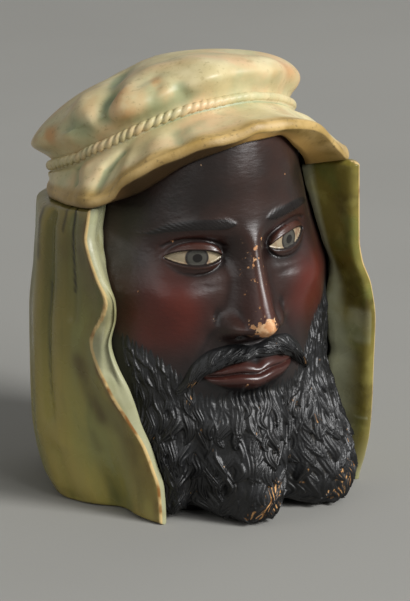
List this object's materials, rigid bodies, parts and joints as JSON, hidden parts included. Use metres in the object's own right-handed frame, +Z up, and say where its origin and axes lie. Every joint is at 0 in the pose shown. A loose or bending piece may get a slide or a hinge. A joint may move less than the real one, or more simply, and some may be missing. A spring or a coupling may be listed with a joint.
{
  "type": "tobacco jar",
  "caption": "Earthenware tobacco jar shaped as a bearded head in a draped headcloth; the soft cap lifts off as its lid",
  "frame": {"origin": "on the table, under the jar's axis, at the middle of its flat foot", "axes": "+Z up, the face looks along -Y, +X to the head's own left"},
  "size_m": [0.1424, 0.164, 0.1976],
  "materials": {
    "cold_painted_clay": "satin dark brown paint over fired earthenware",
    "black_paint": "satin black paint over fired earthenware, worn on the locks",
    "olive_glaze": "soft gloss olive green glaze",
    "cream_glaze": "soft gloss cream glaze, greener in the hollows",
    "bare_clay": "matte unglazed earthenware"
  },
  "bodies": {
    "jar": {"head_pot": "cold_painted_clay", "headcloth": "olive_glaze", "beard": "black_paint", "moustache": "black_paint"},
    "lid": {"cap_brim": "cream_glaze", "lid_flange": "bare_clay", "cap_crown": "cream_glaze", "cap_cord": "cream_glaze"}
  },
  "joints": [
    {"name": "lid_lift", "type": "slide", "parent": "jar", "child": "lid", "axis": [-0.0836, 0.284, 0.9552], "range_m": [0, 0.08]}
  ]
}
